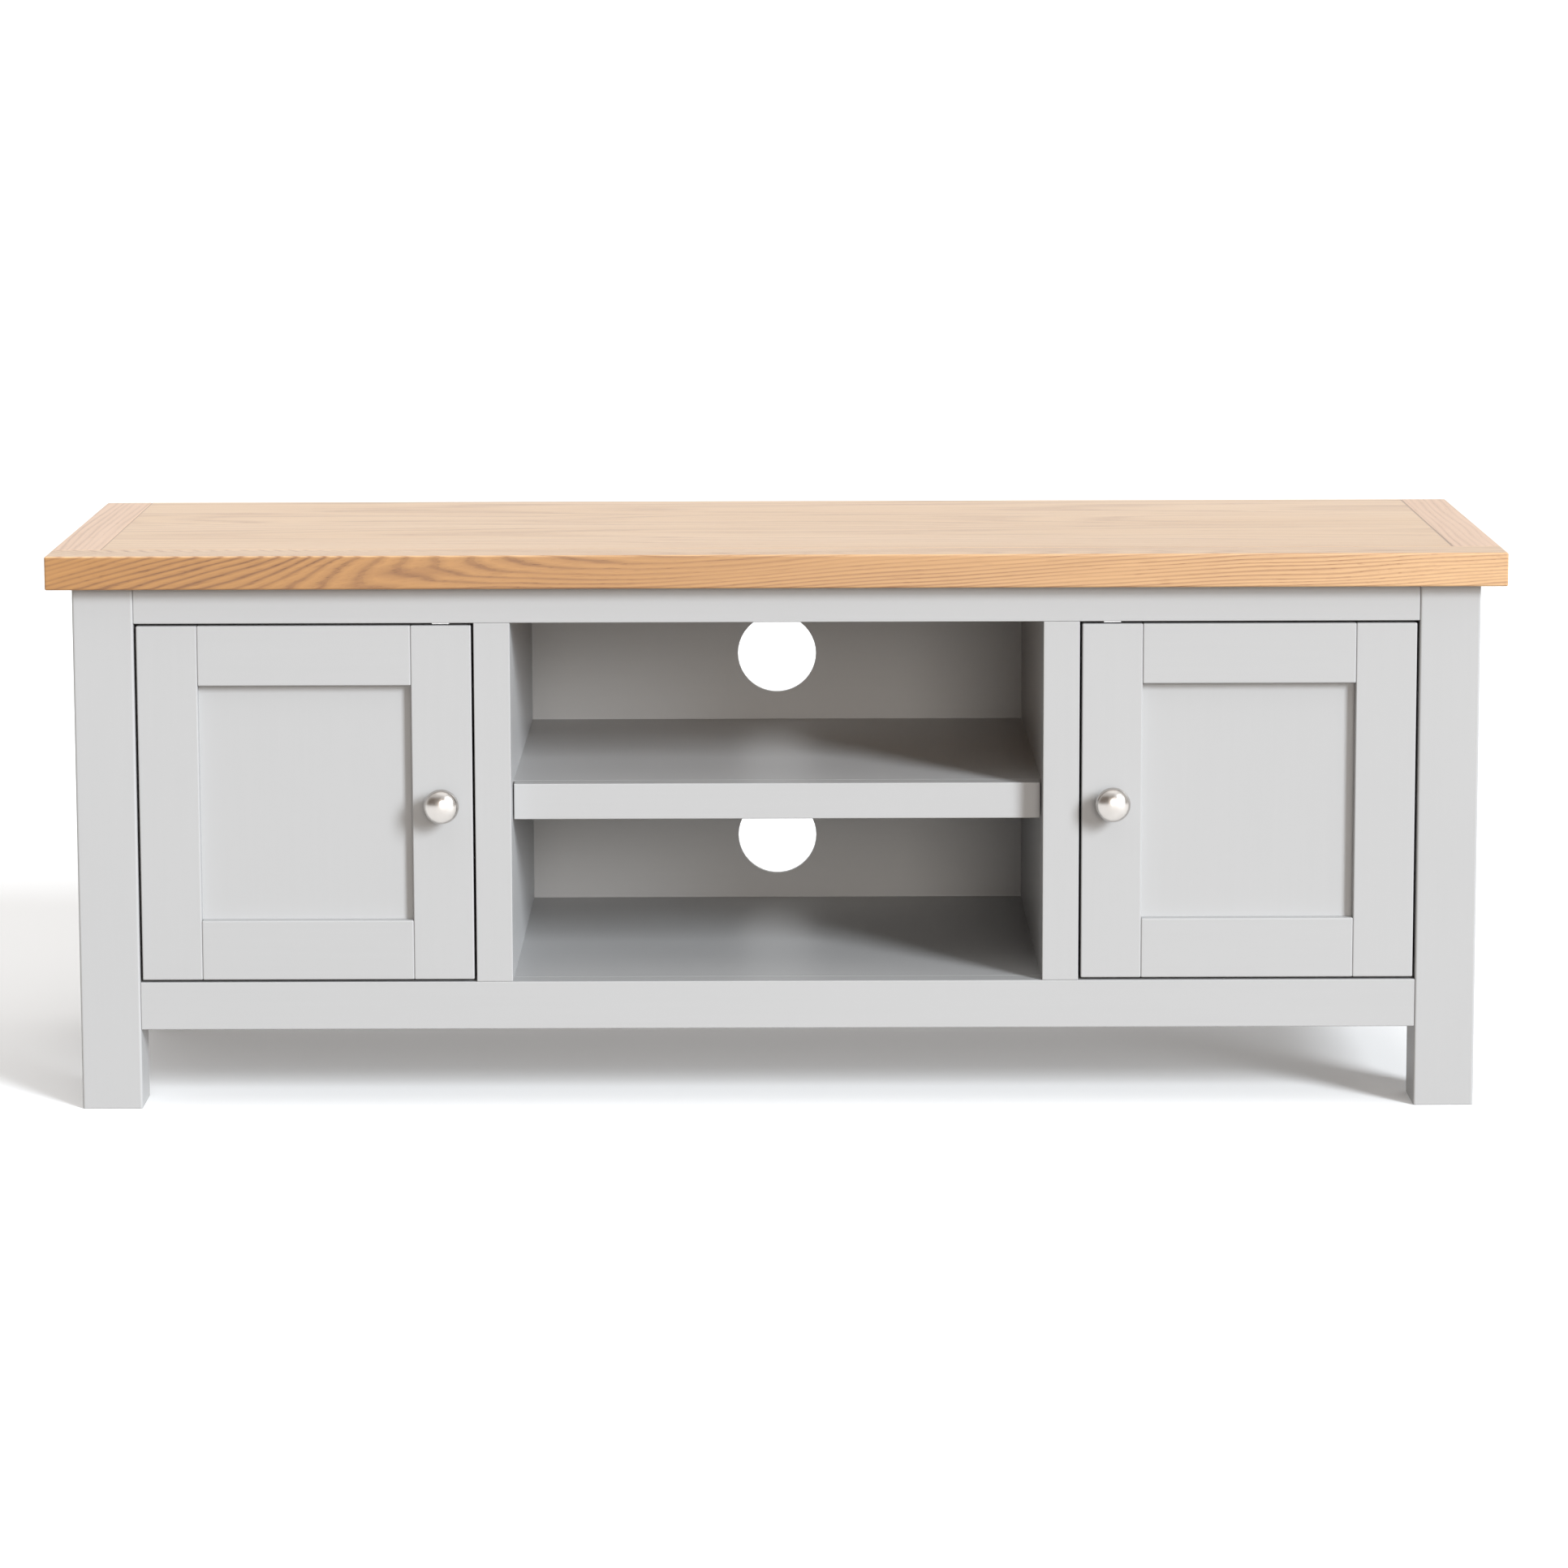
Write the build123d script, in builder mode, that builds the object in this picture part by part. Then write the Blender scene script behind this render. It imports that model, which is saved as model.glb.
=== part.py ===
"""Low painted media cabinet with an oak top, an open middle bay and two framed doors on cup hinges.

X runs to the right, Y from the front to the back and Z up. The origin is on the floor, at the middle
of the whole cabinet with its knobs. All sizes are in millimetres.
"""

import os
from build123d import *

os.makedirs("parts", exist_ok=True)

# ------------------------------------------------------------------ driving dimensions
overall_width = 1200.0
top_depth = 400.0
overall_height = 466.0

top_thickness = 28.0
side_overhang = 20.0
front_overhang = 15.0
back_overhang = 5.0
front_strip_width = 45.0
end_board_width = 40.0
front_plank_width = 153.0
rim_ease = 1.6
seam_ease = 0.5

leg_size = 50.0
leg_ease = 2.0
leg_proud = 1.0

rail_thickness = 20.0
top_rail_height = 30.0
bottom_rail_height = 40.0
floor_clearance = 67.0
frame_ease = 0.8

face_stile_width = 30.0
open_bay_width = 440.0
divider_thickness = 18.0
bottom_board_thickness = 16.0
shelf_top_height = 270.0
shelf_thickness = 18.0
shelf_lip_height = 30.0
shelf_lip_thickness = 18.0
shelf_lip_setback = 2.0
shelf_lip_side_gap = 1.0

back_panel_thickness = 5.0
back_panel_recess = 1.0
cable_hole_radius = 35.0
upper_hole_lift = 59.5
lower_hole_lift = 57.0

side_panel_thickness = 8.0
side_panel_recess = 6.0
groove_depth = 6.0
panel_edge_gap = 0.5

door_gap = 2.0
door_thickness = 20.0
door_frame_width = 50.0
door_panel_thickness = 6.0
door_panel_recess = 9.0
door_ease = 1.2

knob_radius = 14.5
knob_projection = 25.0
knob_neck_radius = 5.0
knob_foot_radius = 7.0
knob_screw_radius = 2.0
knob_screw_reach = 8.0
knob_screw_head_height = 2.5

dowel_radius = 4.0
dowel_length = 30.0
drill_clearance = 0.1
running_clearance = 0.06

corner_block_size = 30.0
corner_block_height = 24.0
bracket_leg = 26.0
bracket_height = 20.0
bracket_width = 18.0
bracket_thickness = 1.5
back_screw_from_bay = 44.0
back_screw_from_leg = 71.0
bracket_from_stile = 50.0
bracket_from_leg = 70.0
shelf_dowel_length = 24.0
shelf_dowel_inset = 70.0
wood_screw_radius = 1.75
wood_screw_length = 14.0
wood_screw_head_radius = 3.4
wood_screw_head_height = 1.8

# Cup hinges. Runs are measured from the cup's centre line, towards the middle of the cabinet, and
# depths from the door's back face.
hinge_end_distance = 65.0
cup_radius = 17.5
cup_depth = 12.0
cup_wall = 0.8
cup_edge_distance = 4.0
flange_thickness = 1.2
flange_width = 20.0
flange_height = 60.0
flange_screw_spacing = 48.0
arm_pivot_run = 14.5
arm_pivot_depth = 6.0
cup_pivot_run = -9.3
cup_pivot_depth = -8.2
link_bend_runs = (-0.1, 11.9)
link_bend_depth = -9.1
arm_knee = (-4.0, 10.0)
arm_shoulder = (-22.0, 24.0)
arm_foot_lead = 8.0
arm_screw_lag = 8.0
arm_screw_radius = 1.6
link_thickness = 3.0
link_height = 9.0
pivot_pin_radius = 1.25
side_play = 0.4
arm_height = 13.0
arm_thickness = 7.0
plate_seat = 6.0
plate_thickness = 2.0
plate_behind_pivot = 40.0
plate_length = 32.0
plate_wing_width = 18.0
plate_wing_height = 48.0
plate_screw_spacing = 32.0
batten_depth = 46.0

catch_width = 14.0
catch_thickness = 1.0
catch_drop = 20.0
catch_setback = 3.0
catch_clearance = 0.3
catch_screw_radius = 1.4
catch_screw_length = 12.0
magnet_radius = 5.0
magnet_thickness = 3.0

# ------------------------------------------------------------------ places worked out from them
leg_height = overall_height - top_thickness
knob_stand_out = max(0.0, knob_projection - front_overhang - leg_proud)
front_edge = knob_stand_out - (top_depth + knob_stand_out) / 2
back_edge = front_edge + top_depth
strip_back = front_edge + front_strip_width
plank_end = overall_width / 2 - end_board_width

leg_outer = overall_width / 2 - side_overhang
leg_inner = leg_outer - leg_size
front_leg_y = (front_edge + front_overhang, front_edge + front_overhang + leg_size)
back_leg_y = (back_edge - back_overhang - leg_size, back_edge - back_overhang)
frame_face = front_leg_y[0] + leg_proud
frame_back = frame_face + rail_thickness
panel_back = back_leg_y[1] - back_panel_recess
panel_front = panel_back - back_panel_thickness
back_rail_front = panel_front - rail_thickness

top_rail_z = (leg_height - top_rail_height, leg_height)
bottom_rail_z = (floor_clearance, floor_clearance + bottom_rail_height)
opening_z = (bottom_rail_z[1], top_rail_z[0])
board_underside = bottom_rail_z[1] - bottom_board_thickness
side_rail_x = (leg_outer - leg_proud - rail_thickness, leg_outer - leg_proud)
side_panel_outer = leg_outer - leg_proud - side_panel_recess
side_panel_x = (side_panel_outer - side_panel_thickness, side_panel_outer)
side_tongue = groove_depth - panel_edge_gap
side_panel_y = (front_leg_y[1] - side_tongue, back_leg_y[0] + side_tongue)
side_panel_z = (bottom_rail_z[1] - side_tongue, top_rail_z[0] + side_tongue)

bay_half = open_bay_width / 2
stile_outer = bay_half + face_stile_width
shelf_underside = shelf_top_height - shelf_thickness
lip_front = frame_back + shelf_lip_setback
lip_back = lip_front + shelf_lip_thickness

door_x = (stile_outer + door_gap, leg_inner - door_gap)
door_z = (opening_z[0] + door_gap, opening_z[1] - door_gap)
door_y = (frame_face, frame_face + door_thickness)
knob_x = door_x[0] + door_frame_width / 2
knob_z = (door_z[0] + door_z[1]) / 2
hinge_heights = (door_z[0] + hinge_end_distance, door_z[1] - hinge_end_distance)
cup_run = door_gap + cup_edge_distance + cup_radius
bowl_radius = cup_radius - cup_wall
cup_floor = door_thickness - cup_depth
flange_run = cup_run + 4.0
arm_pivot = (cup_run + arm_pivot_run, door_thickness + arm_pivot_depth)
cup_pivot = (cup_run + cup_pivot_run, door_thickness + cup_pivot_depth)
link_bends = tuple((cup_run + run, door_thickness + link_bend_depth) for run in link_bend_runs)
plate_setback = arm_pivot[1] + plate_behind_pivot
bracket_places = (stile_outer + bracket_from_stile, leg_inner - bracket_from_leg)
back_screw_places = (bay_half - back_screw_from_bay, leg_inner - back_screw_from_leg)
shelf_dowel_y = (lip_back + shelf_dowel_inset, panel_front - shelf_dowel_inset)
shelf_dowel_mouths = [(y, shelf_underside + shelf_thickness / 2) for y in shelf_dowel_y]
shelf_dowel_bore = shelf_dowel_length / 2 + 0.5
catch_screw_y = frame_face + (rail_thickness + catch_setback) / 2

screw_hole = wood_screw_radius + drill_clearance
screw_depth = wood_screw_length + 0.5
catch_screw_hole = catch_screw_radius + drill_clearance

SIDES = ((-1, "left"), (1, "right"))


# ------------------------------------------------------------------ shared shapes
def save(piece, name):
    """Label a finished piece and write its file."""
    piece.part.label = name
    export_step(piece.part, f"parts/{name}.step")


def span(side, near, far):
    """The X span between two distances from the middle, on one side of the cabinet."""
    return tuple(sorted((side * near, side * far)))


def block(x_span, y_span, z_span, mode=Mode.ADD):
    """Add or cut a square block between three spans, in the piece being built."""
    with BuildSketch(Plane.XY.offset(z_span[0])) as outline:
        with Locations(((x_span[0] + x_span[1]) / 2, (y_span[0] + y_span[1]) / 2)):
            Rectangle(x_span[1] - x_span[0], y_span[1] - y_span[0])
    extrude(outline.sketch, amount=z_span[1] - z_span[0], mode=mode)


def board(x_span, y_span, z_span, ease=0.0):
    """A square board, with every edge eased by the same small radius."""
    with BuildPart() as piece:
        block(x_span, y_span, z_span)
        if ease > 0:
            fillet(piece.edges(), radius=ease)
    return piece


def drill(plane, points, radius, depth):
    """Drill round holes from a plane, along its normal, in the piece being built."""
    with BuildSketch(plane) as mouths:
        with Locations(*points):
            Circle(radius)
    extrude(mouths.sketch, amount=depth, mode=Mode.SUBTRACT)


def front_plane(y):
    """A plane across the cabinet whose drawing is (x, z) and whose normal runs to the back."""
    return Plane(origin=(0, y, 0), x_dir=(-1, 0, 0), z_dir=(0, 1, 0))


def side_plane(x):
    """A plane along the cabinet whose drawing is (y, z) and whose normal runs to the right."""
    return Plane.YZ.offset(x)


def turned(origin, direction, outline):
    """Turn a closed outline of (radius, distance) points about an axis, in the piece being built."""
    across = Vector(0, 0, 1) if abs(direction[2]) < 0.5 else Vector(1, 0, 0)
    plane = Plane(origin=origin, x_dir=across, z_dir=across.cross(Vector(direction)))
    with BuildSketch(plane) as profile:
        with BuildLine():
            Polyline(*outline, close=True)
        make_face()
    revolve(profile.sketch, axis=Axis(origin, direction))


def pan_screw(seat, direction, shank_radius, shank_length, head_radius, head_height):
    """A pan-head screw whose head stands on its seat and whose shank runs along the direction."""
    outline = (
        (0, -head_height),
        (head_radius * 0.6, -head_height),
        (head_radius, -head_height * 0.5),
        (head_radius, 0),
        (shank_radius, 0),
        (shank_radius, shank_length - shank_radius),
        (0, shank_length),
    )
    turned(seat, direction, outline)


# ------------------------------------------------------------------ oak top
def top_board(x_span, y_span, pilots=()):
    """One board of the top: rounded at the rim, eased at its seams and drilled for bracket screws."""
    with BuildPart() as piece:
        block(x_span, y_span, (leg_height, overall_height))
        rim = []
        seams = []
        for edge in piece.edges():
            middle = edge.center()
            along_x = abs(edge.tangent_at(0.5).X) > 0.9
            along_y = abs(edge.tangent_at(0.5).Y) > 0.9
            on_side = abs(abs(middle.X) - overall_width / 2) < 0.01
            on_front = abs(middle.Y - front_edge) < 0.01
            on_back = abs(middle.Y - back_edge) < 0.01
            on_seam = abs(middle.Y - strip_back) < 0.01 or abs(abs(middle.X) - plank_end) < 0.01
            if (along_x and (on_front or on_back)) or (along_y and on_side):
                rim.append(edge)
            elif not along_x and not along_y and on_side and (on_front or on_back):
                rim.append(edge)
            elif on_seam and abs(middle.Z - overall_height) < 0.01:
                seams.append(edge)
        if rim:
            fillet(rim, radius=rim_ease)
        if seams:
            chamfer(piece.edges().filter_by(lambda e: any(same_edge(e, s) for s in seams)), length=seam_ease)
        if pilots:
            drill(Plane.XY.offset(leg_height), pilots, screw_hole, screw_depth)
    return piece


def same_edge(edge, other):
    """Whether an edge still lies along another one after its neighbours were rounded."""
    gap = edge.center() - other.center()
    parallel = abs(edge.tangent_at(0.5).dot(other.tangent_at(0.5))) > 0.999
    offset = gap - other.tangent_at(0.5) * gap.dot(other.tangent_at(0.5))
    return parallel and offset.length < 0.01


half_field = (back_edge - strip_back - front_plank_width) / 2
plank_joints = (
    strip_back,
    strip_back + front_plank_width,
    strip_back + front_plank_width + half_field,
    back_edge,
)
top_brackets_x = [side * x for side, _ in SIDES for x in bracket_places]
bracket_screw_y = {
    "top_plank_front": frame_back + bracket_leg * 0.65,
    "top_plank_back": back_rail_front - bracket_leg * 0.65,
}

top_front_strip = top_board((-overall_width / 2, overall_width / 2), (front_edge, strip_back))
save(top_front_strip, "top_front_strip")

for index, name in enumerate(("top_plank_front", "top_plank_middle", "top_plank_back")):
    pilots = [(x, bracket_screw_y[name]) for x in top_brackets_x if name in bracket_screw_y]
    plank = top_board((-plank_end, plank_end), plank_joints[index:index + 2], pilots)
    save(plank, name)

with BuildPart() as top_end_boards:
    for side, _ in SIDES:
        end_board = top_board(span(side, plank_end, overall_width / 2), (strip_back, back_edge))
        add(end_board.part)
save(top_end_boards, "top_end_boards")

# ------------------------------------------------------------------ legs, rails and their dowels
dowel_z = ((top_rail_z[0] + top_rail_z[1]) / 2, (bottom_rail_z[0] + bottom_rail_z[1]) / 2)
front_dowel_y = (frame_face + frame_back) / 2
back_dowel_y = (back_rail_front + panel_front) / 2
back_bottom_rail_z = (floor_clearance, board_underside)
back_dowel_z = (dowel_z[0], (back_bottom_rail_z[0] + back_bottom_rail_z[1]) / 2)
side_dowel_x = (side_rail_x[0] + side_rail_x[1]) / 2
dowel_hole = dowel_radius + drill_clearance
dowel_reach = dowel_length / 2 + 0.5

for side, word in SIDES:
    for row, y_span in (("front", front_leg_y), ("back", back_leg_y)):
        at_front = row == "front"
        inner_y = y_span[1] if at_front else y_span[0]
        inward = 1 if at_front else -1
        rail_y = front_dowel_y if at_front else back_dowel_y
        rail_z = dowel_z if at_front else back_dowel_z
        groove_y = sorted((inner_y - inward * groove_depth, inner_y + inward))
        with BuildPart() as leg:
            block(span(side, leg_inner, leg_outer), y_span, (0, leg_height))
            fillet(leg.edges().filter_by(Axis.Z), radius=leg_ease)
            fillet(leg.edges().group_by(Axis.Z)[0], radius=frame_ease)
            block(span(side, *side_panel_x), groove_y, side_panel_z, Mode.SUBTRACT)
            cross_holes = [(rail_y, z) for z in rail_z]
            drill(side_plane(side * leg_inner), cross_holes, dowel_hole, side * dowel_reach)
            side_holes = [(-side * side_dowel_x, z) for z in dowel_z]
            drill(front_plane(inner_y), side_holes, dowel_hole, -inward * dowel_reach)
        save(leg, f"leg_{row}_{word}")


def cross_rail(y_span, z_span, dowel_y, dowel_height, screw_holes=()):
    """A rail from leg to leg across the cabinet, drilled at both ends for dowels, and for its screws."""
    with BuildPart() as rail:
        block((-leg_inner, leg_inner), y_span, z_span)
        fillet(rail.edges(), radius=frame_ease)
        for side, _ in SIDES:
            drill(side_plane(side * leg_inner), [(dowel_y, dowel_height)], dowel_hole, -side * dowel_reach)
        for plane, points, radius, depth in screw_holes:
            drill(plane, points, radius, depth)
    return rail


bracket_screw_z = leg_height - bracket_height * 0.6
bracket_holes = [(x, bracket_screw_z) for x in top_brackets_x]
catch_holes = [(side * knob_x, catch_screw_y) for side, _ in SIDES]

# The back is fixed with screws into the back rails, which it covers from leg to leg. Across a front
# plane X is counted to the left, so points that lie evenly about the middle serve as they are.
back_screw_x = [side * reach for side, _ in SIDES for reach in back_screw_places]
top_back_screws = [(x, back_dowel_z[0]) for x in back_screw_x]
bottom_back_screws = [(x, back_dowel_z[1]) for x in back_screw_x]

front_top_rail = cross_rail(
    (frame_face, frame_back), top_rail_z, front_dowel_y, dowel_z[0],
    (
        (Plane.XY.offset(top_rail_z[0]), catch_holes, catch_screw_hole, catch_screw_length + 0.5),
        (front_plane(frame_back), bracket_holes, screw_hole, -screw_depth),
    ),
)
save(front_top_rail, "front_top_rail")

front_bottom_rail = cross_rail((frame_face, frame_back), bottom_rail_z, front_dowel_y, dowel_z[1])
save(front_bottom_rail, "front_bottom_rail")

back_top_rail = cross_rail(
    (back_rail_front, panel_front), top_rail_z, back_dowel_y, back_dowel_z[0],
    (
        (front_plane(back_rail_front), bracket_holes, screw_hole, screw_depth),
        (front_plane(panel_front), top_back_screws, screw_hole, -wood_screw_length),
    ),
)
save(back_top_rail, "back_top_rail")

back_bottom_rail = cross_rail(
    (back_rail_front, panel_front), back_bottom_rail_z, back_dowel_y, back_dowel_z[1],
    ((front_plane(panel_front), bottom_back_screws, screw_hole, -wood_screw_length),),
)
save(back_bottom_rail, "back_bottom_rail")

# Side rails run from front leg to back leg and are grooved for the side panels.
side_rail_y = (front_leg_y[1], back_leg_y[0])
for name, z_span, height, groove_z in (
    ("side_top_rails", top_rail_z, dowel_z[0], (top_rail_z[0] - 1, side_panel_z[1])),
    ("side_bottom_rails", bottom_rail_z, dowel_z[1], (side_panel_z[0], bottom_rail_z[1] + 1)),
):
    with BuildPart() as side_rails:
        for side, _ in SIDES:
            block(span(side, *side_rail_x), side_rail_y, z_span)
        fillet(side_rails.edges(), radius=frame_ease)
        for side, _ in SIDES:
            block(span(side, *side_panel_x), side_rail_y, groove_z, Mode.SUBTRACT)
            hole = [(-side * side_dowel_x, height)]
            drill(front_plane(side_rail_y[0]), hole, dowel_hole, dowel_reach)
            drill(front_plane(side_rail_y[1]), hole, dowel_hole, -dowel_reach)
    save(side_rails, name)

with BuildPart() as rail_dowels:
    for side, _ in SIDES:
        cross_ends = [(front_dowel_y, z) for z in dowel_z] + [(back_dowel_y, z) for z in back_dowel_z]
        with BuildSketch(side_plane(side * leg_inner - dowel_length / 2)):
            with Locations(*cross_ends):
                Circle(dowel_radius)
        extrude(amount=dowel_length)
        for joint_y in side_rail_y:
            with BuildSketch(front_plane(joint_y - dowel_length / 2)):
                with Locations(*[(-side * side_dowel_x, z) for z in dowel_z]):
                    Circle(dowel_radius)
            extrude(amount=dowel_length)
save(rail_dowels, "rail_dowels")

# ------------------------------------------------------------------ side panels, bottom, bay and back
with BuildPart() as side_panels:
    for side, _ in SIDES:
        block(span(side, *side_panel_x), side_panel_y, side_panel_z)
save(side_panels, "side_panels")

for side, word in SIDES:
    face_stile = board(span(side, bay_half, stile_outer), (frame_face, frame_back), opening_z, frame_ease)
    save(face_stile, f"face_stile_{word}")

for side, word in SIDES:
    divider_x = span(side, bay_half, bay_half + divider_thickness)
    with BuildPart() as divider:
        block(divider_x, (frame_back, panel_front), (opening_z[0], leg_height))
        block(divider_x, (back_rail_front, panel_front), (top_rail_z[0], leg_height), Mode.SUBTRACT)
        drill(side_plane(side * bay_half), shelf_dowel_mouths, dowel_hole, side * shelf_dowel_bore)
    save(divider, f"divider_{word}")

with BuildPart() as bottom_board:
    board_z = (board_underside, opening_z[0])
    block((-side_rail_x[0], side_rail_x[0]), (frame_back, panel_front), board_z)
    for side, _ in SIDES:
        corner_x = span(side, leg_inner, leg_outer)
        block(corner_x, (frame_back, front_leg_y[1]), board_z, Mode.SUBTRACT)
        block(corner_x, (back_leg_y[0], panel_front), board_z, Mode.SUBTRACT)
save(bottom_board, "bottom_board")

with BuildPart() as shelf_board:
    block((-bay_half, bay_half), (lip_back, panel_front), (shelf_underside, shelf_top_height))
    for side, _ in SIDES:
        drill(side_plane(side * bay_half), shelf_dowel_mouths, dowel_hole, -side * shelf_dowel_bore)
save(shelf_board, "shelf_board")

with BuildPart() as shelf_dowels:
    for side, _ in SIDES:
        with BuildSketch(side_plane(side * bay_half - shelf_dowel_length / 2)):
            with Locations(*shelf_dowel_mouths):
                Circle(dowel_radius)
        extrude(amount=shelf_dowel_length)
save(shelf_dowels, "shelf_dowels")

lip_half = bay_half - shelf_lip_side_gap
lip_z = (shelf_top_height - shelf_lip_height, shelf_top_height)
shelf_lip = board((-lip_half, lip_half), (lip_front, lip_back), lip_z, frame_ease)
save(shelf_lip, "shelf_lip")

with BuildPart() as back_panel:
    block((-leg_inner, leg_inner), (panel_front, panel_back), (floor_clearance, leg_height))
    holes = [(0, shelf_top_height + upper_hole_lift), (0, opening_z[0] + lower_hole_lift)]
    drill(front_plane(panel_front), holes, cable_hole_radius, back_panel_thickness)
    drill(front_plane(panel_front), top_back_screws + bottom_back_screws, screw_hole, back_panel_thickness)
save(back_panel, "back_panel")

with BuildPart() as back_panel_screws:
    for x, z in top_back_screws + bottom_back_screws:
        pan_screw(
            (x, panel_back, z), (0, -1, 0), wood_screw_radius, wood_screw_length,
            wood_screw_head_radius, wood_screw_head_height,
        )
save(back_panel_screws, "back_panel_screws")

# ------------------------------------------------------------------ corner blocks and top brackets
with BuildPart() as corner_blocks:
    block_z = (board_underside - corner_block_height, board_underside)
    for side, _ in SIDES:
        for wall_y, inward in ((frame_back, 1), (back_rail_front, -1)):
            corner = side * leg_inner
            with BuildSketch(Plane.XY.offset(block_z[0])):
                with BuildLine():
                    Polyline(
                        (corner, wall_y),
                        (corner - side * corner_block_size, wall_y),
                        (corner, wall_y + inward * corner_block_size),
                        close=True,
                    )
                make_face()
            extrude(amount=corner_block_height)
save(corner_blocks, "corner_blocks")

with BuildPart() as top_brackets:
    for wall_y, inward in ((frame_back, 1), (back_rail_front, -1)):
        for x in top_brackets_x:
            x_span = (x - bracket_width / 2, x + bracket_width / 2)
            upright_y = sorted((wall_y, wall_y + inward * bracket_thickness))
            flat_y = sorted((wall_y, wall_y + inward * bracket_leg))
            block(x_span, upright_y, (leg_height - bracket_height, leg_height))
            block(x_span, flat_y, (leg_height - bracket_thickness, leg_height))
        drill(front_plane(wall_y), bracket_holes, screw_hole, inward * bracket_thickness)
    for y in bracket_screw_y.values():
        flat_holes = [(x, y) for x in top_brackets_x]
        drill(Plane.XY.offset(leg_height), flat_holes, screw_hole, -bracket_thickness)
save(top_brackets, "top_brackets")

with BuildPart() as top_bracket_screws:
    for x in top_brackets_x:
        for y in bracket_screw_y.values():
            pan_screw(
                (x, y, leg_height - bracket_thickness), (0, 0, 1), wood_screw_radius,
                wood_screw_length, wood_screw_head_radius, wood_screw_head_height,
            )
        for wall_y, inward in ((frame_back, 1), (back_rail_front, -1)):
            pan_screw(
                (x, wall_y + inward * bracket_thickness, bracket_screw_z),
                (0, -inward, 0), wood_screw_radius, wood_screw_length,
                wood_screw_head_radius, wood_screw_head_height,
            )
save(top_bracket_screws, "top_bracket_screws")


# ------------------------------------------------------------------ cup hinges
def plan(side, run, depth):
    """A point of the hinge plan: run from the leg's inner face, depth behind the doors' front face."""
    return (side * (leg_inner - run), frame_face + depth)


def plan_blade(side, points, width, rounds, low, high):
    """A flat blade along a plan line, with round ends of the given radii, between two heights."""
    corners = [plan(side, *point) for point in points]
    with BuildSketch(Plane.XY.offset(low)) as outline:
        with BuildLine() as spine:
            Polyline(*corners)
        trace(spine.line, line_width=width)
        for corner in corners[1:-1]:
            with Locations(corner):
                Circle(width / 2)
        for corner, radius in ((corners[0], rounds[0]), (corners[-1], rounds[1])):
            with Locations(corner):
                Circle(radius)
    extrude(outline.sketch, amount=high - low)


def plan_cylinder(side, point, radius, low, high, mode=Mode.ADD):
    """An upright cylinder at a plan point, between two heights."""
    with BuildSketch(Plane.XY.offset(low)) as outline:
        with Locations(plan(side, *point)):
            Circle(radius)
    extrude(outline.sketch, amount=high - low, mode=mode)


plate_screw_rises = (-plate_screw_spacing / 2, plate_screw_spacing / 2)
flange_screw_rises = (-flange_screw_spacing / 2, flange_screw_spacing / 2)
pin_hole = pivot_pin_radius + running_clearance
lug_gap = link_height / 2 + side_play
lug_half_width = pin_hole + 2.0
lug_corner = cup_run - cup_pivot[0] + lug_half_width
lug_reach = ((cup_radius - cup_wall / 2) ** 2 - lug_corner ** 2) ** 0.5
arm_bends = tuple((arm_pivot[0] + run, arm_pivot[1] + depth) for run, depth in (arm_knee, arm_shoulder))
arm_middle = plate_seat + arm_thickness / 2
arm_line = (arm_pivot, *arm_bends, (arm_middle, plate_setback - arm_foot_lead))
arm_end = (arm_middle, plate_setback + plate_length / 2 - 2)
arm_screw = (plate_seat + arm_thickness, plate_setback + arm_screw_lag)
arm_screw_hole = arm_screw_radius + drill_clearance
fork_radius = arm_thickness * 0.72
batten_x = (leg_inner, side_rail_x[0])
batten_y = (front_leg_y[1], front_leg_y[1] + batten_depth)

# Upright battens behind the front legs give the hinge plates a seat level with the legs' inner faces.
with BuildPart() as hinge_battens:
    for side, _ in SIDES:
        block(span(side, *batten_x), batten_y, (opening_z[0], leg_height))
        for height in hinge_heights:
            for rise in plate_screw_rises:
                mouth = [(frame_face + plate_setback, height + rise)]
                reach = side * (wood_screw_length - plate_thickness + 0.5)
                drill(side_plane(side * leg_inner), mouth, screw_hole, reach)
save(hinge_battens, "hinge_battens")

# Each plate is a cross: two wings screwed to the batten and a raised middle that the arm sits on.
with BuildPart() as hinge_plates:
    for side, _ in SIDES:
        for height in hinge_heights:
            middle_y = frame_face + plate_setback
            wing_x = span(side, leg_inner - plate_thickness, leg_inner)
            wing_y = (middle_y - plate_wing_width / 2, middle_y + plate_wing_width / 2)
            block(wing_x, wing_y, (height - plate_wing_height / 2, height + plate_wing_height / 2))
            seat_x = span(side, leg_inner - plate_seat, leg_inner)
            seat_y = (middle_y - plate_length / 2, middle_y + plate_length / 2)
            block(seat_x, seat_y, (height - arm_height / 2, height + arm_height / 2))
            wing_holes = [(middle_y, height + rise) for rise in plate_screw_rises]
            drill(side_plane(side * leg_inner), wing_holes, screw_hole, -side * plate_seat)
            arm_hole = [(frame_face + arm_screw[1], height)]
            drill(side_plane(side * leg_inner), arm_hole, arm_screw_hole, -side * plate_seat)
save(hinge_plates, "hinge_plates")

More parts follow.
